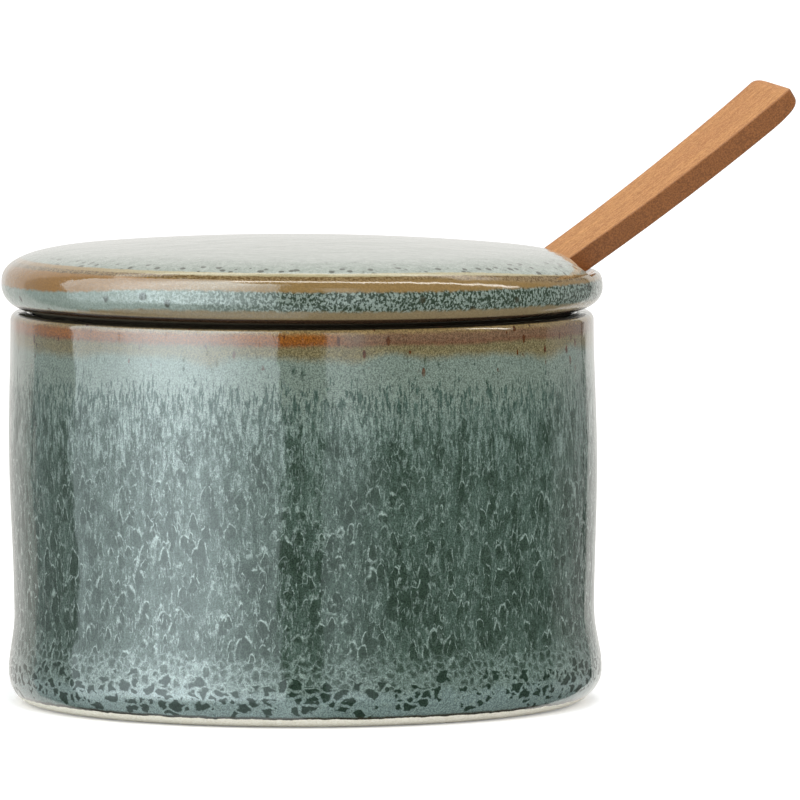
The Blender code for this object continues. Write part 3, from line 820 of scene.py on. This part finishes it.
def jar_cells(tree, looks, place, height, grain, colour):
    """A fine net towards the foot, and a smooth band with scattered dark cells below it."""
    waver = tree.scaled(tree.noise(place, 0.4), 3.0, -1.5)
    low = tree.math("ADD", height, waver)
    colour = tree.mix(tree.ease(low, 13.0, 7.0, 0.0, 0.4), colour, looks.glaze_light)
    net = tree.group("glaze_cells", Vector=place, Size=1.6, Stretch=1.0, Width=0.12, Warp=0.7)
    zone = tree.product(tree.ease(low, 13.5, 10.5), tree.ease(low, 4.5, 6.0))
    colour = tree.mix(tree.product(net["Inside"], zone, 0.7), colour, looks.glaze_dark)
    colour = tree.mix(tree.product(net["Thread"], zone, 0.7), colour, looks.glaze_light)
    cells = tree.group("glaze_cells", Vector=place, Size=2.5, Stretch=0.7, Width=0.085, Warp=1.2)
    smooth_band = tree.mottle(grain, tone(102, 121, 117), tone(120, 138, 134))
    colour = tree.mix(tree.ease(low, 7.0, 5.2), colour, smooth_band)
    sparse = tree.ease(cells["Level"], 1.6, 4.0, 1.0, 0.12)
    least = tree.math("MAXIMUM", sparse, tree.ease(cells["Level"], 6.2, 10.0))
    present = tree.math("GREATER_THAN", cells["Chance"], least)
    colour = tree.mix(tree.product(present, cells["Thread"], 0.7), colour, tone(124, 142, 134))
    colour = tree.mix(tree.product(present, cells["Inside"], 0.95), colour, looks.glaze_deep)
    return colour


def jar_rim(tree, looks, place, height, turned, grain, colour):
    """The glaze thins through olive to rust at the rim, duller to the right, with specks below it, and
    painted shade on the rim's top under the lid.
    """
    slow = tree.noise(place, 0.12, 3.0, 0.6)
    level = tree.scaled(tree.noise(place, 0.9, 4.0, 0.7), 0.9, height)
    level = tree.scaled(slow, 0.9, tree.math("SUBTRACT", level, 1.5))
    level = tree.scaled(grain, 1.2, level)
    sagged = tree.math("ADD", level, tree.scaled(tree.noise(place, 0.07), 5.0, -2.5))
    olive = tree.mottle(grain, looks.rim_olive, tone(122, 114, 84))
    dulled = tree.ease(tree.scaled(slow, 24.0, turned), 12.0, 26.0)
    rust = tree.mix(dulled, looks.rim_rust, tone(108, 86, 66))
    rust = tree.mix(tree.ease(grain, 0.55, 0.3, 0.0, 0.6), rust, tone(88, 58, 36))
    colour = tree.banded(
        colour,
        (sagged, 61.7, 63.9, olive),
        (level, 64.7, 65.7, tree.mix(0.5, rust, tone(96, 60, 42))),
        (level, 65.3, 66.3, rust),
        (level, 66.8, 67.8, tone(140, 120, 80)),
        # Painted shade: near black on the rim's top, standing in for the shade under the lid
        (height, 67.8, 68.0, tone(40, 36, 26)),
    )
    for spacing, size, share, drop in RIM_SPECKS:
        speck = dots(tree, place, spacing, size, share, 2.2)
        speck = tree.product(speck, tree.ease(height, drop, 62.0))
        colour = tree.mix(speck, colour, tone(78, 46, 24))
    return colour


def jar_material(looks):
    """The jar's glaze: rust and olive at the rim, a pale band, streaks, drops, dark cells, a bare foot."""
    material, tree, shader, place = new_material("jar_glaze_look")
    _, height, radius, turned = measures(tree, place)
    grain = tree.noise(place, 4.4, 2.0, 0.75)
    clump = tree.noise(tree.squeezed(place, 0.35), 0.35, 3.0, 0.6, 0.5)
    colour = jar_streaks(tree, looks, place, height, clump)
    colour = jar_drops(tree, looks, place, colour)
    colour = jar_cells(tree, looks, place, height, grain, colour)
    cover = tree.node("ShaderNodeRGBToBW", {"Color": colour}).outputs[0]
    colour = jar_rim(tree, looks, place, height, turned, grain, colour)

    # Inside, and the bare foot below a dark line
    inside = tree.mottle(clump, tone(142, 152, 141), tone(168, 177, 166))
    within = tree.product(tree.ease(radius, 48.6, 48.1), tree.ease(height, 3.0, 3.2))
    colour = tree.mix(within, colour, inside)
    foot = tree.scaled(tree.noise(place, 0.4, 3.0, 0.6), 0.7, height)
    colour = tree.mix(tree.ease(foot, 2.6, 2.1), colour, tone(54, 52, 40))
    clay = tree.mottle(tree.noise(place, 2.4, 4.0, 0.7), looks.clay, tone(250, 247, 236))
    bare = tree.ease(foot, *BARE_FOOT)
    colour = tree.group("fine_grain", Vector=place, Color=colour, Amount=0.42)["Color"]
    tree.put(shader.inputs["Base Color"], tree.mix(bare, colour, clay))
    finish_glaze(tree, shader, looks, place, tree.ease(cover, 0.04, 0.22), bare)
    return material


def lid_material(looks):
    """The lid's glaze: pale top, tan where it thins at the shoulder, a dark worm-marked side, a tan edge,
    painted shade under the edge and on the seat, and slot walls lightened as painted light.
    """
    material, tree, shader, place = new_material("lid_glaze_look")
    x, height, radius, turned = measures(tree, place)
    height = tree.scaled(x, LID_LEAN / LID_RADIUS, height)
    grain = tree.noise(place, 2.6, 3.0, 0.7)

    # Side: light mesh round dark worm marks, which run out towards the picture's left
    worms = tree.noise(tree.squeezed(place, 0.8), 2.3, 2.0, 0.6, 0.4)
    patchy = tree.scaled(tree.noise(place, 0.08), 24.0, turned)
    ground = tree.mottle(grain, tone(114, 129, 120), tone(138, 151, 142))
    dark = tree.product(tree.ease(worms, 0.58, 0.45), tree.ease(patchy, -14.0, 12.0))
    colour = tree.mix(dark, ground, tone(50, 62, 50))
    spot = dots(tree, place, 3.0, 0.75, 0.45, 1.0)
    colour = tree.mix(tree.product(spot, 0.85), colour, tone(50, 50, 36))

    # Tan where the glaze thins at the lower edge and the shoulder, and painted shade under the edge
    waver = tree.scaled(tree.noise(place, 0.5, 4.0, 0.65), 1.1, -0.55)
    level = tree.math("ADD", height, waver)
    tan = tree.mix(tree.ease(patchy, -20.0, 6.0), tone(140, 102, 50), looks.lid_tan)
    sunk = tree.math("ADD", level, tree.ease(turned, -24.0, -46.0, 0.0, 1.4))
    colour = tree.banded(
        colour,
        (sunk, 71.4, 70.7, tone(126, 112, 84)),
        # Painted shade: dark brown where the lid's edge turns under, standing in for the shade it lies in
        (height, 69.8, 69.5, tone(56, 40, 28)),
        (sunk, *LID_TAN_EDGE, tan),
    )

    # Brown and cream rings on the shoulder, drawn in towards the picture's right
    shift = tree.ease(turned, 22.0, 52.0)
    ring = tree.scaled(waver, 0.5, tree.scaled(shift, -2.5, radius))
    shoulder = tree.ease(height, 74.6, 75.2)
    brown = tree.mix(tree.ease(grain, 0.38, 0.62), tone(92, 70, 38), tone(144, 124, 88))
    rim = tree.math("ADD", ring, shift)
    colour = tree.mix(tree.product(shoulder, tree.ease(rim, 51.1, 50.8)), colour, brown)
    cream = tree.mix(tree.ease(turned, -46.0, -20.0), tone(148, 120, 76), tone(170, 161, 126))
    colour = tree.mix(tree.product(shoulder, tree.ease(rim, 50.2, 49.9)), colour, cream)

    # Top: pale, softly mottled, with dark flecks
    cloud = tree.noise(place, 0.7, 4.0, 0.7, 0.4)
    pale = tree.mix(tree.ease(cloud, 0.35, 0.65), tone(126, 136, 126), looks.lid_pale)
    pale = tree.mix(tree.ease(grain, 0.4, 0.75, 0.0, 0.5), pale, tone(176, 182, 172))
    for spacing, size, share, within in ((1.8, 0.55, 0.9, 46.0), (2.1, 0.26, 0.4, 0.0)):
        fleck = dots(tree, place, spacing, size, share, 3.0)
        fleck = tree.product(fleck, tree.ease(radius, within, within + 1.2), 0.9)
        pale = tree.mix(fleck, pale, tone(50, 54, 40))
    colour = tree.mix(tree.product(tree.ease(ring, 49.3, 48.9), shoulder), colour, pale)

    # Underside and hollow, the bare seat in painted shade, and the slot's walls in partly painted light
    under = tree.product(tree.ease(radius, 49.4, 48.8), tree.ease(height, 74.4, 74.0))
    colour = tree.mix(under, colour, tree.mottle(cloud, tone(142, 150, 138), tone(164, 172, 160)))
    seat = tree.product(tree.ease(height, 69.0, 68.8), tree.ease(radius, 46.0, 46.4))
    # Painted shade: the seat is coloured dark, standing in for the shade in the gap between lid and jar
    colour = tree.mix(seat, colour, tone(66, 58, 44))
    slot = tree.node("ShaderNodeAttribute", attribute_name="slot").outputs["Fac"]
    # Partly painted light: the slot's walls are tan where the glaze thins at the cut, and coloured lighter to
    # stand in for light in the shaded slot
    colour = tree.mix(slot, colour, tone(206, 156, 104))
    colour = tree.group("fine_grain", Vector=place, Color=colour, Amount=0.16)["Color"]
    tree.put(shader.inputs["Base Color"], colour)
    relief = tree.math("MAXIMUM", tree.ease(worms, 0.4, 0.65), tree.ease(sunk, *LID_TAN_EDGE, 0.0, 0.6))
    finish_glaze(tree, shader, looks, place, relief, seat)
    return material


def wood_material(looks):
    """Close-grained wood: long soft bands, short dark pores and a fine speckle, with painted shade darkening
    the flanks.
    """
    material, tree, shader, _ = new_material("spoon_wood_look")
    place = tree.node("ShaderNodeAttribute", attribute_name="grain").outputs["Vector"]
    flank = tree.node("ShaderNodeAttribute", attribute_name="flank").outputs["Fac"]
    bands = tree.noise(tree.vector("MULTIPLY", place, (0.035, 1.0, 1.0)), 0.5, 3.0, 0.55, 0.5)
    pores = tree.noise(tree.vector("MULTIPLY", place, (0.25, 1.0, 1.0)), 2.6, 3.0, 0.7)
    speckle = tree.noise(place, 3.4, 3.0, 0.8)
    colour = tree.mottle(bands, looks.wood_dark, looks.wood_light)
    colour = tree.mix(tree.ease(pores, 0.6, 0.42, 0.0, 0.6), colour, tone(140, 86, 42))
    colour = tree.mix(tree.ease(speckle, 0.45, 0.65, 0.0, 0.5), colour, tone(208, 156, 104))
    # Painted shade: the flanks are coloured a darker brown, standing in for the shade on the spoon's sides
    flank_shade_colour = tree.mix(tree.ease(speckle, 0.35, 0.65), tone(112, 65, 24), tone(152, 94, 44))
    colour = tree.mix(flank, colour, flank_shade_colour)
    tree.put(shader.inputs["Base Color"], colour)
    tree.put(shader.inputs["Roughness"], tree.ease(pores, 0.3, 0.7, 0.66, 0.52))
    tree.put(shader.inputs["Normal"], tree.bump(tree.math("ADD", pores, speckle), 0.03))
    return material


# The stage


def studio_world():
    """White for the camera, plain light on the object, and soft boxes at their bearings for the gloss.

    A bearing is the angle round Z from the camera's side, positive to the picture's right, and a climb is
    the angle above the floor.
    """
    world = bpy.data.worlds.new("studio")
    world.use_nodes = True
    tree = Tree(world.node_tree)
    turned = tree.node("ShaderNodeVectorRotate", rotation_type="Z_AXIS")
    tree.put(turned.inputs["Vector"], tree.node("ShaderNodeTexCoord").outputs["Generated"])
    turned.inputs["Angle"].default_value = PHOTO_TURN
    x, y, z = tree.split(turned.outputs[0])
    bearing = tree.math("DEGREES", tree.math("ARCTAN2", x, tree.math("MULTIPLY", y, -1.0)))
    climb = tree.math("DEGREES", tree.math("ARCSINE", z))
    bottom = tree.ease(climb, -30.0, -12.0)
    side = tree.product(tree.ease(climb, 58.0, 52.0), bottom)
    wide = tree.scaled(tree.math("MAXIMUM", climb, 0.0), 0.45, bearing)
    left = tree.product(tree.ease(wide, -102.2, -101.4), tree.ease(bearing, -8.2, -9.0))
    left = tree.product(left, tree.ease(climb, 80.0, 72.0), bottom)
    hot = tree.product(left, tree.ease(wide, -95.0, -52.0), tree.ease(bearing, -12.0, -46.0))
    below = tree.product(tree.between(bearing, -110.0, 6.0, 20.0, 12.0), tree.ease(climb, -12.0, -30.0))
    far_left = tree.product(tree.between(bearing, -132.0, -101.8, 1.0, 0.4), side)
    right = tree.product(tree.between(bearing, 7.8, 26.0, 0.4, 14.0), side)
    far_right = tree.product(tree.between(bearing, 113.0, 144.5, 1.0, 0.4), side)
    away = tree.math("ABSOLUTE", bearing)
    behind = tree.math("MAXIMUM", tree.ease(bearing, 147.4, 148.6), tree.ease(bearing, -131.0, -133.0))
    back = tree.product(behind, tree.between(climb, -90.0, 52.0, 1.0, 1.0))
    bright_back = tree.product(tree.ease(away, 120.0, 130.0), tree.between(climb, 49.0, 56.0, 2.0, 2.0))
    strip = tree.product(tree.between(y, 0.0, 0.1, 0.01, 0.01), tree.ease(x, -0.3, -0.2))
    strip = tree.product(strip, tree.ease(z, 0.3, 0.5))
    boxes = (
        (left, 2.7, COOL),
        (hot, 4.2, COOL),
        (far_left, 0.4, COOL),
        (right, 1.5, COOL),
        (far_right, 0.26, WHITE),
        (back, 0.76, WARM),
        (bright_back, 1.5, WARM),
        (strip, 9.0, WARM),
        (below, 1.1, COOL),
    )
    totals = [ROOM_GLOSS] * 3
    for share, strength, tint in boxes:
        totals = [tree.scaled(share, strength * part, total) for part, total in zip(tint, totals)]
    gloss = tree.node("ShaderNodeCombineColor", dict(zip(("Red", "Green", "Blue"), totals)))
    plain = tree.ease(z, 0.0, 1.0, 0.56, 1.15)
    light_path = tree.node("ShaderNodeLightPath").outputs
    colour = tree.mix(light_path["Is Glossy Ray"], plain, gloss.outputs[0])
    colour = tree.mix(light_path["Is Camera Ray"], colour, WHITE)
    tree.put(world.node_tree.nodes["Background"].inputs["Color"], colour)
    bpy.context.scene.world = world


def add_lamp():
    """A soft square lamp that looks at the canister's middle and doesn't show in the glaze."""
    data = bpy.data.lights.new("lamp_above", "AREA")
    data.size = LAMP_SIZE
    data.energy = LAMP_POWER
    lamp = linked("lamp_above", data)
    turn, level = LAMP_BEARING - PHOTO_TURN, math.cos(LAMP_CLIMB)
    away = Vector((math.sin(turn) * level, -math.cos(turn) * level, math.sin(LAMP_CLIMB)))
    lamp.location = away * LAMP_DISTANCE + Vector((0.0, 0.0, JAR_HEIGHT / 2))
    lamp.rotation_euler = away.to_track_quat("Z", "Y").to_euler()
    lamp.visible_glossy = False


def add_camera():
    """The photograph's view: 1.7 m away, a little above the lid, looking just right of the jar's axis."""
    data = bpy.data.cameras.new("camera")
    camera = linked("camera", data)
    turn = Matrix.Rotation(-PHOTO_TURN, 3, "Z")
    place = turn @ Vector(CAMERA_PLACE)
    target = turn @ Vector(CAMERA_TARGET)
    camera.location = place
    camera.rotation_euler = (target - place).to_track_quat("-Z", "Y").to_euler()
    data.sensor_width = CAMERA_SENSOR
    data.lens = CAMERA_LENS
    data.clip_end = CAMERA_REACH
    bpy.context.scene.camera = camera


def add_floor():
    """A wide pale floor that keeps the canister's shadow and stays out of the glaze."""
    corners = [(x * FLOOR_SIZE, y * FLOOR_SIZE, 0.0) for x, y in ((-1, -1), (1, -1), (1, 1), (-1, 1))]
    mesh = bpy.data.meshes.new("floor")
    mesh.from_pydata(corners, [], [(0, 1, 2, 3)])
    floor = linked("floor", mesh)
    floor.location.z = -FLOOR_DROP
    material, tree, shader, place = new_material("floor_look")
    camera = tree.node("ShaderNodeLightPath").outputs["Is Camera Ray"]
    grain = tree.ease(tree.noise(place, 0.002), 0.3, 0.7, 0.93, 0.97)
    tree.put(shader.inputs["Base Color"], tone(252, 252, 252))
    tree.put(shader.inputs["Roughness"], grain)
    shader.inputs["Specular IOR Level"].default_value = 0.0
    tree.put(shader.inputs["Emission Color"], WHITE)
    tree.put(shader.inputs["Emission Strength"], tree.math("MULTIPLY", camera, 0.25))
    mesh.materials.append(material)
    floor.visible_glossy = False


# Pieces


def link_piece(mesh, material):
    """Gives a piece its material and adds it to the scene."""
    mesh.materials.append(material)
    return linked(mesh.name, mesh)


def colour_property(name, description, default):
    """A colour that the panel offers."""
    return bpy.props.FloatVectorProperty(
        name=name, description=description, default=default, subtype="COLOR", size=3, min=0.0, max=1.0
    )


class CanisterLooks(bpy.types.PropertyGroup):
    """Fineness and finishes of the canister"""

    turn_steps: bpy.props.IntProperty(
        name="Steps round", description="How many steps the turned pieces have", default=288, min=48, max=360
    )
    glaze_roughness: bpy.props.FloatProperty(
        name="Glaze roughness",
        description="How matt the glaze is",
        default=0.08,
        min=0.0,
        max=1.0,
        subtype="FACTOR",
    )
    glaze_deep: colour_property("Cells", "Dark cells near the foot", tone(34, 50, 40))
    glaze_dark: colour_property("Glaze, dark", "Dark drops and slivers of the jar", tone(44, 59, 49))
    glaze_mid: colour_property("Glaze, middle", "Ground of the jar's glaze", tone(66, 83, 74))
    glaze_light: colour_property("Glaze, light", "Light threads of the jar", tone(116, 134, 127))
    glaze_pale: colour_property("Glaze, pale", "Band under the jar's rim", tone(108, 122, 112))
    rim_olive: colour_property("Rim, olive", "Olive band near the jar's rim", tone(90, 82, 54))
    rim_rust: colour_property("Rim, rust", "Rust band at the jar's rim", tone(132, 80, 28))
    lid_pale: colour_property("Lid, pale", "Top of the lid", tone(156, 165, 155))
    lid_tan: colour_property("Lid, tan", "Shoulder of the lid", tone(132, 108, 68))
    clay: colour_property("Clay", "Bare foot", tone(232, 227, 210))
    wood_light: colour_property("Wood, light", "Light bands of the spoon", tone(192, 134, 74))
    wood_dark: colour_property("Wood, dark", "Dark bands of the spoon", tone(166, 106, 52))


class CANISTER_OT_glaze_groups(bpy.types.Operator):
    """Build the shader groups that the glazes share"""

    bl_idname = "canister.glaze_groups"
    bl_label = "Glaze groups"

    def execute(self, context):
        add_cells_group()
        add_dots_group()
        add_grain_group()
        add_skin_group()
        return {"FINISHED"}


class CANISTER_OT_jar(bpy.types.Operator):
    """Build the glazed jar"""

    bl_idname = "canister.jar"
    bl_label = "Jar"

    def execute(self, context):
        looks = context.scene.canister
        jar = link_piece(jar_mesh(looks.turn_steps), jar_material(looks))
        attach(jar, "jar")
        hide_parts("jar")
        return {"FINISHED"}


class CANISTER_OT_lid(bpy.types.Operator):
    """Build the glazed lid with its slot"""

    bl_idname = "canister.lid"
    bl_label = "Lid"

    def execute(self, context):
        looks = context.scene.canister
        lid = link_piece(lid_mesh(looks.turn_steps), lid_material(looks))
        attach(lid, "lid")
        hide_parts("lid")
        return {"FINISHED"}


class CANISTER_OT_spoon(bpy.types.Operator):
    """Build the wooden spoon"""

    bl_idname = "canister.spoon"
    bl_label = "Spoon"

    def execute(self, context):
        spoon = link_piece(spoon_mesh(), wood_material(context.scene.canister))
        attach(spoon, "spoon")
        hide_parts("spoon")
        return {"FINISHED"}


class CANISTER_OT_stage(bpy.types.Operator):
    """Set up the floor, the light and the camera"""

    bl_idname = "canister.stage"
    bl_label = "Stage"

    def execute(self, context):
        context.scene.view_settings.view_transform = "Standard"
        studio_world()
        add_floor()
        add_lamp()
        add_camera()
        return {"FINISHED"}


class CANISTER_PT_panel(bpy.types.Panel):
    """The canister's finishes and the operators that build it"""

    bl_label = "Canister"
    bl_idname = "CANISTER_PT_panel"
    bl_space_type = "VIEW_3D"
    bl_region_type = "UI"
    bl_category = "Canister"

    def draw(self, context):
        column = self.layout.column()
        for name in CanisterLooks.__annotations__:
            column.prop(context.scene.canister, name)
        for operator in ("glaze_groups", "jar", "lid", "spoon", "stage"):
            column.operator(f"canister.{operator}")


CLASSES = (
    CanisterLooks,
    CANISTER_OT_glaze_groups,
    CANISTER_OT_jar,
    CANISTER_OT_lid,
    CANISTER_OT_spoon,
    CANISTER_OT_stage,
    CANISTER_PT_panel,
)


def register():
    for item in CLASSES:
        bpy.utils.register_class(item)
    bpy.types.Scene.canister = bpy.props.PointerProperty(type=CanisterLooks)


def unregister():
    del bpy.types.Scene.canister
    for item in reversed(CLASSES):
        bpy.utils.unregister_class(item)


def main():
    register()
    bpy.ops.canister.glaze_groups()
    bpy.ops.canister.jar()
    bpy.ops.canister.lid()
    bpy.ops.canister.spoon()
    bpy.ops.canister.stage()


if __name__ == "__main__":
    main()
